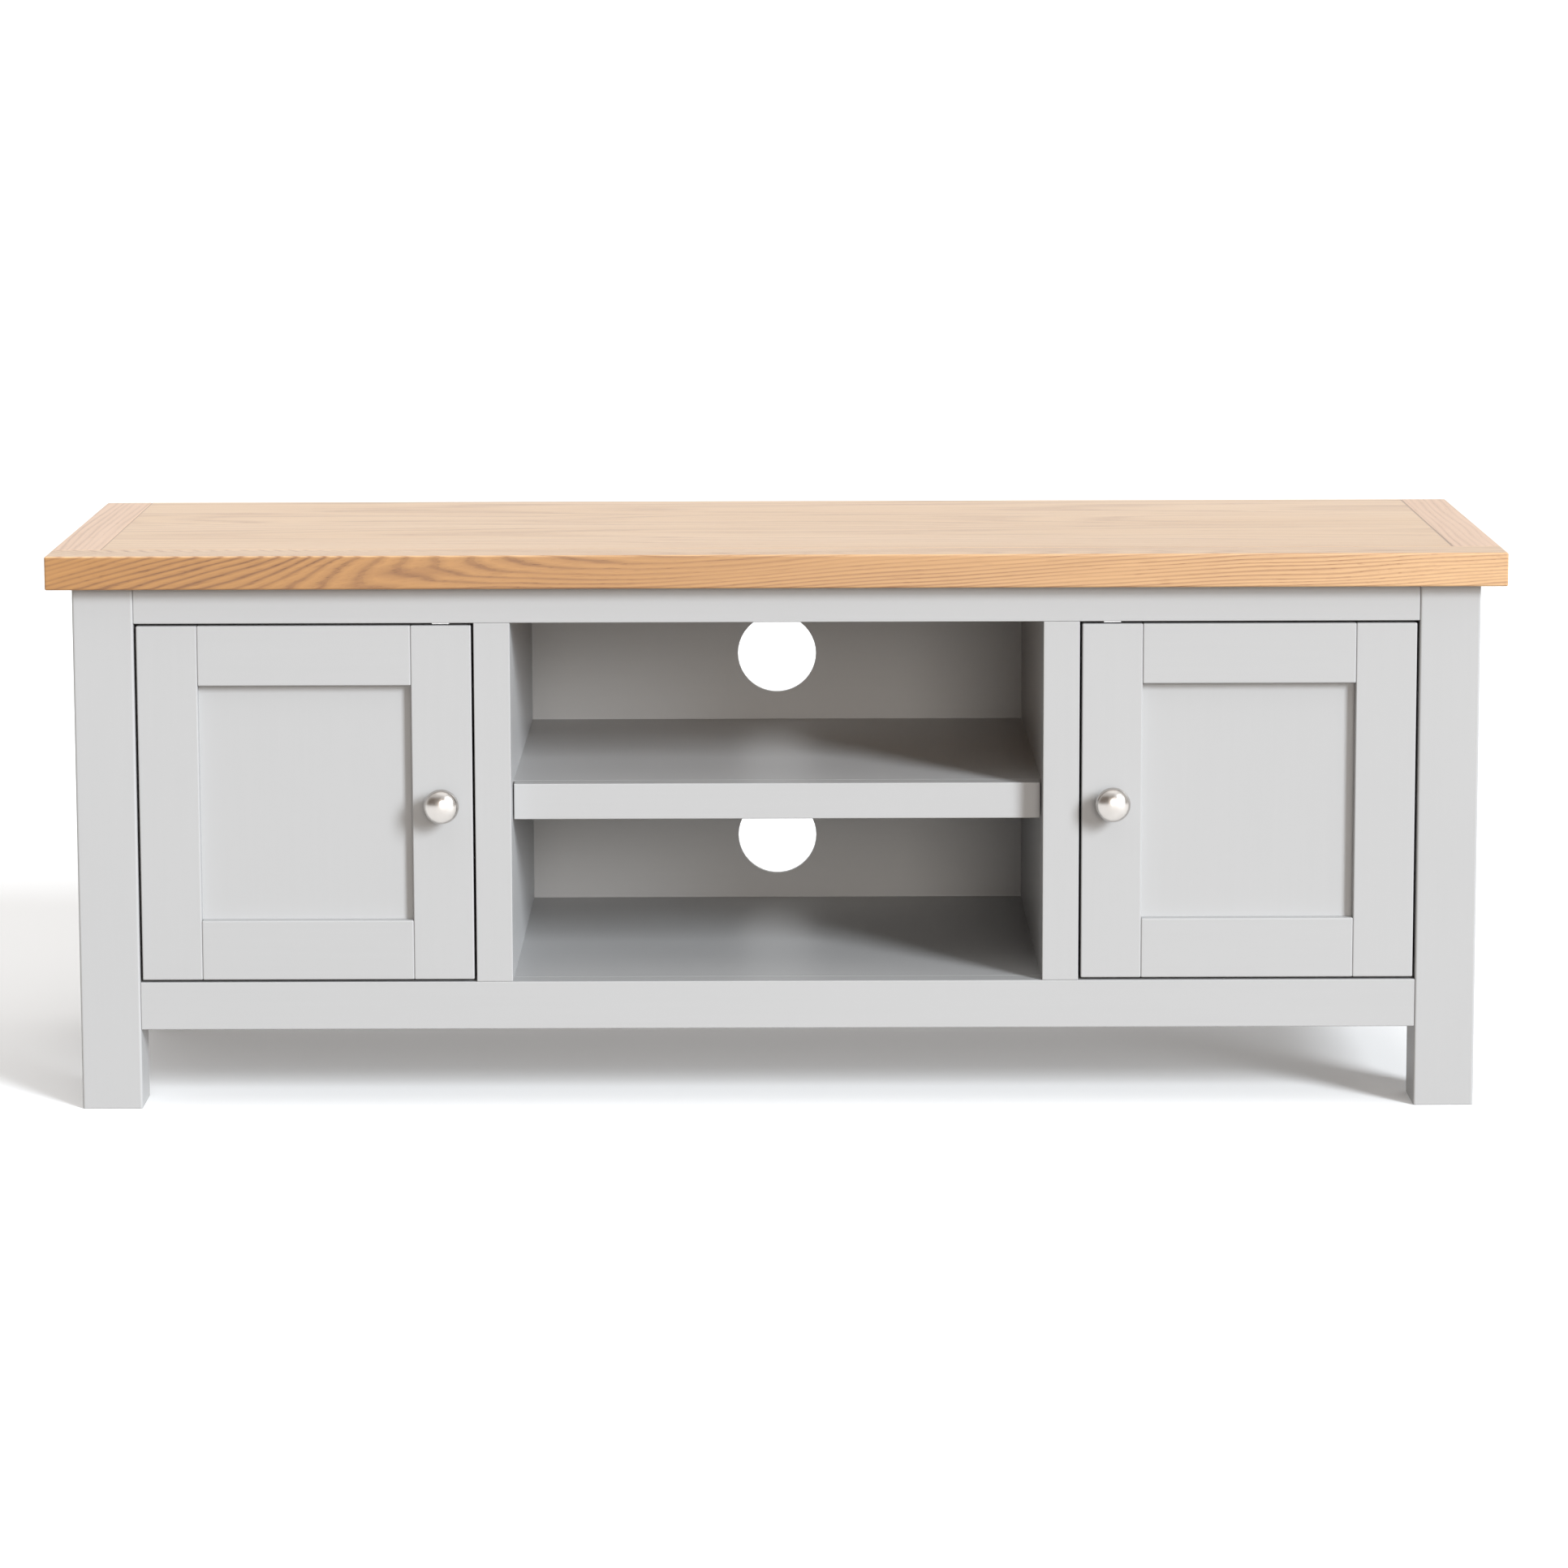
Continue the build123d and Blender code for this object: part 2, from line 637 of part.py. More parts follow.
# Each arm is cranked from its plate to a forked nose that holds the arm pivot.
with BuildPart() as hinge_arms:
    for side, _ in SIDES:
        for height in hinge_heights:
            low = height - arm_height / 2
            high = height + arm_height / 2
            ends = (arm_thickness / 2, arm_thickness / 2)
            plan_blade(side, (*arm_line, arm_end), arm_thickness, ends, low, high)
            plan_cylinder(side, arm_pivot, fork_radius, height - lug_gap, height + lug_gap, Mode.SUBTRACT)
            plan_cylinder(side, arm_pivot, pin_hole, low, high, Mode.SUBTRACT)
            arm_hole = [(frame_face + arm_screw[1], height)]
            seat_plane = side_plane(side * (leg_inner - plate_seat))
            drill(seat_plane, arm_hole, arm_screw_hole, -side * arm_thickness)
save(hinge_arms, "hinge_arms")

with BuildPart() as hinge_screws:
    for side, _ in SIDES:
        for height in hinge_heights:
            for rise in plate_screw_rises:
                pan_screw(
                    (side * (leg_inner - plate_thickness), frame_face + plate_setback, height + rise),
                    (side, 0, 0), wood_screw_radius, wood_screw_length,
                    wood_screw_head_radius, wood_screw_head_height,
                )
            pan_screw(
                (side * (leg_inner - arm_screw[0]), frame_face + arm_screw[1], height),
                (side, 0, 0), arm_screw_radius, arm_screw[0] - 1, wood_screw_head_radius, 1.6,
            )
save(hinge_screws, "hinge_screws")

for side, word in SIDES:
    with BuildPart() as hinge_links:
        for height in hinge_heights:
            low = height - link_height / 2
            high = height + link_height / 2
            plan_blade(side, (cup_pivot, *link_bends, arm_pivot), link_thickness, (2.4, 3.0), low, high)
            for pivot in (cup_pivot, arm_pivot):
                plan_cylinder(side, pivot, pin_hole, low, high, Mode.SUBTRACT)
    save(hinge_links, f"{word}_hinge_links")

    with BuildPart() as hinge_pins:
        for height in hinge_heights:
            for pivot, reach in ((cup_pivot, lug_reach), (arm_pivot, arm_height / 2)):
                plan_cylinder(side, pivot, pivot_pin_radius, height - reach, height + reach)
    save(hinge_pins, f"{word}_hinge_pins")

    # Cups are let into the back of the door, with two lugs inside that hold the cup pivot.
    with BuildPart() as hinge_cups:
        for height in hinge_heights:
            cup_x = side * (leg_inner - cup_run)
            flange_x = side * (leg_inner - flange_run)
            back_y = frame_face + door_thickness
            with BuildSketch(front_plane(frame_face + cup_floor)) as shell:
                with Locations((-cup_x, height)):
                    Circle(cup_radius)
            extrude(shell.sketch, amount=cup_depth)
            with BuildSketch(front_plane(back_y)) as flange:
                with Locations((-flange_x, height)):
                    RectangleRounded(flange_width, flange_height, flange_width / 3)
                with Locations((-cup_x, height)):
                    Circle(cup_radius + 1.5)
            extrude(flange.sketch, amount=flange_thickness)
            bowl_depth = flange_thickness + cup_depth - cup_wall
            drill(front_plane(back_y + flange_thickness), [(-cup_x, height)], bowl_radius, -bowl_depth)
            pivot_x = leg_inner - cup_pivot[0]
            lug_x = span(side, pivot_x - lug_half_width, pivot_x + lug_half_width)
            lug_y = (frame_face + cup_floor + cup_wall / 2, frame_face + cup_pivot[1] + lug_half_width)
            for low, high in ((-lug_reach, -lug_gap), (lug_gap, lug_reach)):
                block(lug_x, lug_y, (height + low, height + high))
            plan_cylinder(side, cup_pivot, pin_hole, height - lug_reach, height + lug_reach, Mode.SUBTRACT)
            slot_x = span(side, leg_inner - cup_run, leg_inner)
            slot_z = (height - lug_gap - 1.5, height + lug_gap + 1.5)
            block(slot_x, (back_y, back_y + flange_thickness), slot_z, Mode.SUBTRACT)
            ears = [(-flange_x, height + rise) for rise in flange_screw_rises]
            drill(front_plane(back_y), ears, screw_hole, flange_thickness)
    save(hinge_cups, f"{word}_hinge_cups")

    with BuildPart() as cup_screws:
        for height in hinge_heights:
            for rise in flange_screw_rises:
                pan_screw(
                    (flange_x, back_y + flange_thickness, height + rise), (0, -1, 0), wood_screw_radius,
                    wood_screw_length, wood_screw_head_radius, wood_screw_head_height,
                )
    save(cup_screws, f"{word}_cup_screws")

# ------------------------------------------------------------------ doors
frame_inner_x = (door_x[0] + door_frame_width, door_x[1] - door_frame_width)
frame_inner_z = (door_z[0] + door_frame_width, door_z[1] - door_frame_width)
door_panel_y = (door_y[0] + door_panel_recess, door_y[0] + door_panel_recess + door_panel_thickness)
tongue = groove_depth - panel_edge_gap
door_panel_x = (frame_inner_x[0] - tongue, frame_inner_x[1] + tongue)
door_panel_z = (frame_inner_z[0] - tongue, frame_inner_z[1] + tongue)
panel_groove_x = (frame_inner_x[0] - groove_depth, frame_inner_x[1] + groove_depth)
panel_groove_z = (frame_inner_z[0] - groove_depth, frame_inner_z[1] + groove_depth)
magnet_z = door_z[1] - magnet_radius - 5.0

# Heights on the knob are measured out from the door's face.
knob_bore_radius = knob_screw_radius + drill_clearance
knob_bore_depth = knob_screw_reach + 1.0
foot_edge = 1.2
neck_depth = 5.0
head_root = (knob_neck_radius + 1.0, knob_projection * 0.42)
rim_back = knob_projection * 0.6
rim_front = rim_back + 2.0
rim_middle = (rim_back + rim_front) / 2
rim_inset = knob_radius - 0.6
head_swell = (knob_neck_radius + 4.5, (head_root[1] + rim_back) / 2 + 0.4)
dome_shoulder = (rim_inset * 0.88, knob_projection - 3.0)
dome_crown = (rim_inset * 0.45, knob_projection)

for side, word in SIDES:
    hinge_x = span(side, frame_inner_x[1], door_x[1])
    lock_x = span(side, door_x[0], frame_inner_x[0])
    rail_x = span(side, *frame_inner_x)
    groove_x = span(side, *panel_groove_x)

    with BuildPart() as hinge_stile:
        block(hinge_x, door_y, door_z)
        fillet(hinge_stile.edges(), radius=door_ease)
        block(groove_x, door_panel_y, panel_groove_z, Mode.SUBTRACT)
        for height in hinge_heights:
            cup_mouth = [(-side * (leg_inner - cup_run), height)]
            drill(front_plane(door_y[1]), cup_mouth, cup_radius + drill_clearance, -cup_depth)
            ears = [
                (-side * (leg_inner - flange_run), height + rise)
                for rise in flange_screw_rises
            ]
            drill(front_plane(door_y[1]), ears, screw_hole, -wood_screw_length)
    save(hinge_stile, f"{word}_door_hinge_stile")

    with BuildPart() as lock_stile:
        block(lock_x, door_y, door_z)
        fillet(lock_stile.edges(), radius=door_ease)
        block(groove_x, door_panel_y, panel_groove_z, Mode.SUBTRACT)
        drill(front_plane(door_y[0]), [(-side * knob_x, knob_z)], knob_bore_radius, door_thickness)
        magnet_mouth = [(-side * knob_x, magnet_z)]
        drill(front_plane(door_y[1]), magnet_mouth, magnet_radius + drill_clearance, -magnet_thickness)
    save(lock_stile, f"{word}_door_lock_stile")

    for name, z_span in (
        ("top_rail", (frame_inner_z[1], door_z[1])),
        ("bottom_rail", (door_z[0], frame_inner_z[0])),
    ):
        with BuildPart() as door_rail:
            block(rail_x, door_y, z_span)
            fillet(door_rail.edges(), radius=door_ease)
            block(rail_x, door_panel_y, panel_groove_z, Mode.SUBTRACT)
        save(door_rail, f"{word}_door_{name}")

    door_panel = board(span(side, *door_panel_x), door_panel_y, door_panel_z)
    save(door_panel, f"{word}_door_panel")

    # Knob: a small foot, a waisted neck and a mushroom head with a domed face, turned about its screw.
    with BuildPart() as knob:
        knob_plane = Plane(origin=(side * knob_x, door_y[0], knob_z), x_dir=(1, 0, 0), z_dir=(0, 0, -1))
        with BuildSketch(knob_plane):
            with BuildLine():
                Line((knob_bore_radius, 0), (knob_foot_radius, 0))
                Line((knob_foot_radius, 0), (knob_foot_radius, foot_edge))
                ThreePointArc((knob_foot_radius, foot_edge), (knob_neck_radius, neck_depth), head_root)
                ThreePointArc(head_root, head_swell, (rim_inset, rim_back))
                ThreePointArc((rim_inset, rim_back), (knob_radius, rim_middle), (rim_inset, rim_front))
                Bezier((rim_inset, rim_front), dome_shoulder, dome_crown, (0, knob_projection))
                Line((0, knob_projection), (0, knob_bore_depth))
                Line((0, knob_bore_depth), (knob_bore_radius, knob_bore_depth))
                Line((knob_bore_radius, knob_bore_depth), (knob_bore_radius, 0))
            make_face()
        revolve(axis=Axis((side * knob_x, door_y[0], knob_z), (0, 1, 0)))
    save(knob, f"{word}_knob")

    with BuildPart() as knob_screw:
        pan_screw(
            (side * knob_x, door_y[1], knob_z), (0, -1, 0), knob_screw_radius,
            door_thickness + knob_screw_reach, knob_screw_radius * 2, knob_screw_head_height,
        )
    save(knob_screw, f"{word}_knob_screw")

    with BuildPart() as catch_magnet:
        turned(
            (side * knob_x, door_y[1], magnet_z), (0, -1, 0),
            ((0, 0), (magnet_radius, 0), (magnet_radius, magnet_thickness), (0, magnet_thickness)),
        )
    save(catch_magnet, f"{word}_catch_magnet")

# ------------------------------------------------------------------ door catches
# Angle plates: one leg is screwed under the top rail, the other hangs behind the door as its stop.
stop_y = (door_y[1] + catch_clearance, door_y[1] + catch_clearance + catch_thickness)
with BuildPart() as catch_plates:
    for side, _ in SIDES:
        catch_x = (side * knob_x - catch_width / 2, side * knob_x + catch_width / 2)
        flat_z = (top_rail_z[0] - catch_thickness, top_rail_z[0])
        block(catch_x, (door_y[0] + catch_setback, stop_y[1]), flat_z)
        block(catch_x, stop_y, (top_rail_z[0] - catch_drop, top_rail_z[0]))
        with BuildSketch(Plane.XY.offset(flat_z[0])) as wide:
            with Locations((side * knob_x, catch_screw_y)):
                Circle(catch_screw_radius + catch_thickness + drill_clearance)
        extrude(wide.sketch, amount=catch_thickness, taper=45, mode=Mode.SUBTRACT)
save(catch_plates, "catch_plates")

with BuildPart() as catch_screws:
    for side, _ in SIDES:
        turned(
            (side * knob_x, catch_screw_y, top_rail_z[0] - catch_thickness), (0, 0, 1),
            (
                (0, 0),
                (catch_screw_radius + catch_thickness, 0),
                (catch_screw_radius, catch_thickness),
                (catch_screw_radius, catch_screw_length - catch_screw_radius),
                (0, catch_screw_length),
            ),
        )
save(catch_screws, "catch_screws")
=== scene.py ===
"""Low painted media cabinet with an oak top: the finish of every piece, the studio and the camera.

X runs to the right, Y from the front to the back and Z up, in metres, with the floor at zero.
"""

import math

import bmesh
import bpy
from mathutils import Matrix, Vector


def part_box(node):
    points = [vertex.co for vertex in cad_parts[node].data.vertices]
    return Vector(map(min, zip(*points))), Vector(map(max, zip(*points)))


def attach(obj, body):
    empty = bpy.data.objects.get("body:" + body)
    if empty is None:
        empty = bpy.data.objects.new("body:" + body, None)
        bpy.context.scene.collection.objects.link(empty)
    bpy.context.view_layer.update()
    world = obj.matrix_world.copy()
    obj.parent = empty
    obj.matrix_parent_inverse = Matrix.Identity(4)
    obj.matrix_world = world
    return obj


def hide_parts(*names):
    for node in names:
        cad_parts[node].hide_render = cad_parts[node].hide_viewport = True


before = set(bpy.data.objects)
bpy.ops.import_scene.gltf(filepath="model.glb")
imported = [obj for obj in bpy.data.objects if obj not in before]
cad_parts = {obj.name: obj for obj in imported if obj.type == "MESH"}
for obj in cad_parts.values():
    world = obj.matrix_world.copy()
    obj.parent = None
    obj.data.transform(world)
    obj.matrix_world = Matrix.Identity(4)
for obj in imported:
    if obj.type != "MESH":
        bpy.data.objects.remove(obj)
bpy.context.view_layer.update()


# ---------------------------------------------------------------- painted frame: legs, rails and stiles
# Square legs, rails and face stiles of a close-grained hardwood, glued up and sprayed with a satin
# grey paint. The grain under it still shows faintly along each piece, so the paint comes in three
# runs: up the legs and stiles, along the rails, and from front to back on the side rails.
def add(tree, kind, inputs=None, **settings):
    """Add a shader node, set it, and fill its inputs with values or wires."""
    made = tree.nodes.new("ShaderNode" + kind)
    for name, value in settings.items():
        setattr(made, name, value)
    for key, value in (inputs or {}).items():
        socket = made.inputs[key]
        if isinstance(value, bpy.types.NodeSocket):
            tree.links.new(value, socket)
        else:
            socket.default_value = value
    return made


def maths(tree, operation, first, second=0.0, third=0.0):
    """One step of arithmetic between wires or numbers."""
    return add(tree, "Math", {0: first, 1: second, 2: third}, operation=operation).outputs[0]


def weigh(tree, *shares):
    """Add up wires, each times its own share."""
    parts = [maths(tree, "MULTIPLY", wire, share) for wire, share in shares]
    total = parts[0]
    for part in parts[1:]:
        total = maths(tree, "ADD", total, part)
    return total


def blend_colours(tree, amount, low, high):
    """A colour between two, by an amount from 0 to 1."""
    colour_in, colour_out = (6, 7), 2
    mix = add(tree, "Mix", {0: amount, colour_in[0]: low, colour_in[1]: high}, data_type="RGBA")
    return mix.outputs[colour_out]


def stretch(tree, vector, scale):
    """The same coordinates, stretched along each axis."""
    return add(tree, "Mapping", {"Vector": vector, "Scale": scale}).outputs[0]


def ramp(tree, value, start, end, low=0.0, high=1.0):
    """A straight climb from low to high while a value goes from start to end, level beyond both."""
    ends = {"Value": value, "From Min": start, "From Max": end, "To Min": low, "To Max": high}
    return add(tree, "MapRange", ends).outputs[0]


def speckle(tree, vector, scale=1.0, detail=2.0):
    """Soft noise from 0 to 1, with a number of spots in each metre."""
    return add(tree, "TexNoise", {"Vector": vector, "Scale": scale, "Detail": detail}).outputs["Fac"]


def effect_group(name, inputs, outputs):
    """A node group with its sockets, ready to be filled: the tree, its inputs and its outputs."""
    kinds = {"vector": "NodeSocketVector", "colour": "NodeSocketColor", "value": "NodeSocketFloat"}
    tree = bpy.data.node_groups.new(name, "ShaderNodeTree")
    for label, kind in inputs:
        tree.interface.new_socket(label, in_out="INPUT", socket_type=kinds[kind])
    for label, kind in outputs:
        tree.interface.new_socket(label, in_out="OUTPUT", socket_type=kinds[kind])
    return tree, tree.nodes.new("NodeGroupInput").outputs, tree.nodes.new("NodeGroupOutput").inputs


def satin_paint():
    """Sprayed paint: slow shifts of tone, wood grain telling through it and a fine spray stipple."""
    clouds, sprayed_dots = 3.0, 1500.0
    smooth_gloss, dotted_gloss = 0.34, 0.10
    tree, given, result = effect_group(
        "satin_paint",
        (("Vector", "vector"), ("Grain Vector", "vector"), ("Colour", "colour"), ("Shade Colour", "colour")),
        (("Colour", "colour"), ("Roughness", "value"), ("Height", "value")),
    )
    cloud = speckle(tree, given["Vector"], clouds)
    grain = speckle(tree, given["Grain Vector"], detail=3.0)
    stipple = speckle(tree, given["Vector"], sprayed_dots, detail=1.0)
    tone = weigh(tree, (cloud, 0.7), (grain, 0.3))
    tree.links.new(blend_colours(tree, tone, given["Shade Colour"], given["Colour"]), result["Colour"])
    tree.links.new(maths(tree, "MULTIPLY_ADD", stipple, dotted_gloss, smooth_gloss), result["Roughness"])
    tree.links.new(weigh(tree, (grain, 0.55), (stipple, 0.45)), result["Height"])
    return tree


def finish_material(name, group, inputs, relief_depth, constants=()):
    """A material whose colour, roughness and height come from a group, with its constants set here."""
    made = bpy.data.materials.new(name)
    made.use_nodes = True
    tree = made.node_tree
    surface = tree.nodes["Principled BSDF"]
    place = add(tree, "TexCoord").outputs["Object"]
    effect = add(tree, "Group", node_tree=group)
    for label, value in inputs(tree, place).items():
        if isinstance(value, bpy.types.NodeSocket):
            tree.links.new(value, effect.inputs[label])
        else:
            effect.inputs[label].default_value = value
    tree.links.new(effect.outputs["Colour"], surface.inputs["Base Color"])
    tree.links.new(effect.outputs["Roughness"], surface.inputs["Roughness"])
    relief = add(tree, "Bump", {
        "Height": effect.outputs["Height"], "Distance": relief_depth, "Strength": 1.0,
    })
    tree.links.new(relief.outputs[0], surface.inputs["Normal"])
    for label, value in dict(constants).items():
        surface.inputs[label].default_value = value
    return made


def dress(names, material):
    """Give CAD nodes their finish."""
    for name in names:
        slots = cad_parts[name].material_slots
        for held in slots:
            held.material = material
        if not slots:
            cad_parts[name].data.materials.append(material)


paint_colour = (0.395, 0.395, 0.395, 1.0)
paint_shade = (0.365, 0.365, 0.365, 1.0)
paint_relief = 0.00004
paint_shine = {"Specular IOR Level": 0.45}
paint_group = satin_paint()


def paint(name, grain_scale):
    """Satin grey paint over wood whose grain runs along the axis with the smallest scale."""
    def fill(tree, place):
        return {
            "Vector": place,
            "Grain Vector": stretch(tree, place, grain_scale),
            "Colour": paint_colour,
            "Shade Colour": paint_shade,
        }
    return finish_material(name, paint_group, fill, paint_relief, paint_shine)


along_grain, across_grain = 9.0, 260.0
upright_paint = paint("grey_paint_upright", (across_grain, across_grain, along_grain))
level_paint = paint("grey_paint_level", (along_grain, across_grain, across_grain))
deep_paint = paint("grey_paint_deep", (across_grain, along_grain, across_grain))

dress(["leg_front_left", "leg_front_right", "leg_back_left", "leg_back_right"], upright_paint)
dress(["face_stile_left", "face_stile_right", "hinge_battens"], upright_paint)
dress(["front_top_rail", "front_bottom_rail", "back_top_rail", "back_bottom_rail"], level_paint)
dress(["side_top_rails", "side_bottom_rails"], deep_paint)

# ---------------------------------------------------------------- boards inside the frame
# Dividers, bottom board, fixed shelf with its thicker lip, thin side panels and the thin back with
# its two cable holes. All are painted like the frame.
dress(["divider_left", "divider_right", "bottom_board", "shelf_board", "shelf_lip"], level_paint)
dress(["back_panel"], level_paint)
dress(["side_panels"], deep_paint)


# ---------------------------------------------------------------- hidden joinery
# Beech corner blocks and dowels hold the rails, more dowels hold the shelf between the dividers, and
# bent zinc-plated brackets hold the top. All of it sits out of sight and is left unpainted.
def bare_wood():
    """Plain close-grained wood: straight streaks and short darker flecks."""
    tree, given, result = effect_group(
        "bare_wood",
        (("Grain Vector", "vector"), ("Pale", "colour"), ("Dark", "colour")),
        (("Colour", "colour"), ("Roughness", "value"), ("Height", "value")),
    )
    streak = speckle(tree, given["Grain Vector"], detail=4.0)
    fleck = speckle(tree, given["Grain Vector"], 3.0, detail=1.0)
    marks = ramp(tree, fleck, 0.6, 0.75)
    amount = weigh(tree, (streak, 0.6), (marks, 0.4))
    tree.links.new(blend_colours(tree, amount, given["Pale"], given["Dark"]), result["Colour"])
    tree.links.new(maths(tree, "MULTIPLY_ADD", streak, 0.2, 0.5), result["Roughness"])
    tree.links.new(streak, result["Height"])
    return tree


def beech_fill(tree, place):
    """Beech with its grain along the cabinet."""
    return {
        "Grain Vector": stretch(tree, place, (25.0, 500.0, 500.0)),
        "Pale": (0.62, 0.42, 0.24, 1.0),
        "Dark": (0.40, 0.23, 0.11, 1.0),
    }


beech_relief = 0.00005
beech = finish_material("bare_beech", bare_wood(), beech_fill, beech_relief)
dress(["corner_blocks", "rail_dowels", "shelf_dowels"], beech)


def worked_metal():
    """Drawn or plated metal: fine scratches one way, and a cloudy dulling."""
    tree, given, result = effect_group(
        "worked_metal",
        (("Vector", "vector"), ("Scratch Vector", "vector"), ("Bright", "colour"), ("Dull", "colour"),
         ("Gloss", "value")),
        (("Colour", "colour"), ("Roughness", "value"), ("Height", "value")),
    )
    cloud = speckle(tree, given["Vector"], 160.0)
    scratch = speckle(tree, given["Scratch Vector"])
    tone = weigh(tree, (cloud, 0.6), (scratch, 0.4))
    tree.links.new(blend_colours(tree, tone, given["Dull"], given["Bright"]), result["Colour"])
    tree.links.new(maths(tree, "MULTIPLY_ADD", scratch, 0.1, given["Gloss"]), result["Roughness"])
    tree.links.new(scratch, result["Height"])
    return tree


metal_group = worked_metal()
scratch_depth = 0.00001


def metal(name, bright, dull, gloss, scratches):
    """One plated finish, with its scratches along the axis with the smallest scale."""
    def fill(tree, place):
        return {
            "Vector": place,
            "Scratch Vector": stretch(tree, place, scratches),
            "Bright": bright,
            "Dull": dull,
            "Gloss": gloss,
        }
    return finish_material(name, metal_group, fill, scratch_depth, {"Metallic": 1.0})


zinc = metal(
    "zinc_plate", bright=(0.72, 0.73, 0.74, 1.0), dull=(0.50, 0.51, 0.53, 1.0), gloss=0.30,
    scratches=(90.0, 900.0, 900.0),
)
dress(["top_brackets"], zinc)
screw_zinc = metal(
    "zinc_screws", bright=(0.70, 0.70, 0.70, 1.0), dull=(0.42, 0.42, 0.43, 1.0), gloss=0.28,
    scratches=(700.0, 700.0, 700.0),
)
dress(["top_bracket_screws", "back_panel_screws"], screw_zinc)


# ---------------------------------------------------------------- oak top
# A solid oak top: one strip along the front, three long boards behind it and a cross-grained board
# at each end, glued edge to edge and finished with a clear satin lacquer.
def oak_figure():
    """Oak cut from a log whose pith lies along X through zero: rings, streaks, pores and slow tone."""
    tree, given, result = effect_group(
        "oak_figure",
        (("Vector", "vector"), ("Ring Gap", "value"), ("Pale", "colour"), ("Warm", "colour"),
         ("Dark", "colour"), ("Contrast", "value")),
        (("Colour", "colour"), ("Roughness", "value"), ("Height", "value")),
    )
    waver = add(tree, "TexNoise", {"Vector": stretch(tree, given["Vector"], (2.2, 9.0, 9.0)), "Scale": 1.0})
    centred = add(tree, "VectorMath", {0: waver.outputs["Color"], 1: (0.5, 0.5, 0.5)}, operation="SUBTRACT")
    shift = add(tree, "VectorMath", {0: centred.outputs[0], 1: (0.0, 0.022, 0.022)}, operation="MULTIPLY")
    bent = add(tree, "VectorMath", {0: given["Vector"], 1: shift.outputs[0]}).outputs[0]

    def figure(along, across, detail=2.0):
        """Noise drawn out along the bent grain, with a number of spots in each metre."""
        return speckle(tree, stretch(tree, bent, (along, across, across)), detail=detail)

    # Rings: each starts dark, fades to pale wood and darkens again, and they wander along the board.
    flat = add(tree, "VectorMath", {0: bent, 1: (0.0, 1.0, 1.0)}, operation="MULTIPLY").outputs[0]
    radius = add(tree, "VectorMath", {0: flat}, operation="LENGTH").outputs["Value"]
    jitter = maths(tree, "MULTIPLY", figure(5.0, 120.0), 1.1)
    phase = maths(tree, "ADD", maths(tree, "DIVIDE", radius, given["Ring Gap"]), jitter)
    one_ring = add(tree, "ValToRGB", {"Fac": maths(tree, "FRACT", phase)})
    stops = one_ring.color_ramp.elements
    first_level, inner_levels, last_level = 0.85, ((0.16, 1.0), (0.34, 0.35), (0.72, 0.06)), 0.6
    stops[0].color = (first_level, first_level, first_level, 1.0)
    for position, level in inner_levels:
        stops.new(position).color = (level, level, level, 1.0)
    stops[-1].color = (last_level, last_level, last_level, 1.0)
    fade = ramp(tree, figure(3.0, 45.0), 0.3, 0.7, low=0.35)
    rings = maths(tree, "MULTIPLY", one_ring.outputs["Color"], fade)

    # Fine streaks, and short open pores that crowd into the dark of each ring.
    streaks = figure(8.0, 520.0, detail=3.0)
    pores = ramp(tree, figure(55.0, 1700.0, detail=1.0), 0.6, 0.72)
    open_pores = maths(tree, "MULTIPLY", pores, maths(tree, "MULTIPLY_ADD", rings, 0.7, 0.3))
    depth = weigh(tree, (rings, 0.62), (streaks, 0.30), (open_pores, 0.35))
    amount = add(tree, "Clamp", {"Value": maths(tree, "MULTIPLY", depth, given["Contrast"])}).outputs[0]

    tone = ramp(tree, figure(1.1, 9.0), 0.3, 0.7)
    ground = blend_colours(tree, tone, given["Pale"], given["Warm"])
    tree.links.new(blend_colours(tree, amount, ground, given["Dark"]), result["Colour"])
    tree.links.new(maths(tree, "MULTIPLY_ADD", open_pores, 0.15, 0.36), result["Roughness"])
    tree.links.new(maths(tree, "SUBTRACT", 1.0, open_pores), result["Height"])
    return tree


oak_group = oak_figure()
oak_warm = (0.64, 0.41, 0.21, 1.0)
oak_pale = (0.72, 0.50, 0.30, 1.0)
oak_dark = (0.30, 0.135, 0.050, 1.0)
pore_depth = 0.00008
lacquer = {"Coat Weight": 0.55, "Coat Roughness": 0.28}


def oak(name, pith, turn, ring_gap, contrast, bend=None, tones=None):
    """Lacquered oak whose grain runs along X once turned, with the pith of its log at an offset."""
    def fill(tree, place):
        grown = bend(tree, place) if bend else place
        laid = add(tree, "Mapping", {"Vector": grown, "Rotation": turn, "Location": pith}).outputs[0]
        colours = tones(tree, place) if tones else {"Pale": oak_pale, "Warm": oak_warm}
        return {"Vector": laid, "Ring Gap": ring_gap, "Contrast": contrast, "Dark": oak_dark, **colours}
    return finish_material(name, oak_group, fill, pore_depth, lacquer)


# The front strip's log was bent: its pith climbs all the way from the left end to the right, fast at
# first, while it comes nearer to the front face and then draws back a little. Each stop is a share of
# the strip's length and a share of the swing.
strip_low, strip_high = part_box("top_front_strip")
strip_middle = (strip_low + strip_high) / 2
pith_climb = ((0.0, 0.06), (0.14, 0.34), (0.24, 0.52), (0.40, 0.62), (0.62, 0.80), (1.0, 0.95))
pith_depth = ((0.0, 0.42), (0.14, 0.34), (0.24, 0.24), (0.45, 0.12), (0.75, 0.12), (1.0, 0.22))
pith_swing = 0.12
fleck_place, fleck_reach, fleck_rise = -0.300, 0.048, 0.006
fleck_brown = (0.21, 0.085, 0.022, 1.0)
# Depths below the strip's top where the painted sheen on its top face begins and where it is full.
painted_sheen_start, painted_sheen_end = 0.0015, 0.0003


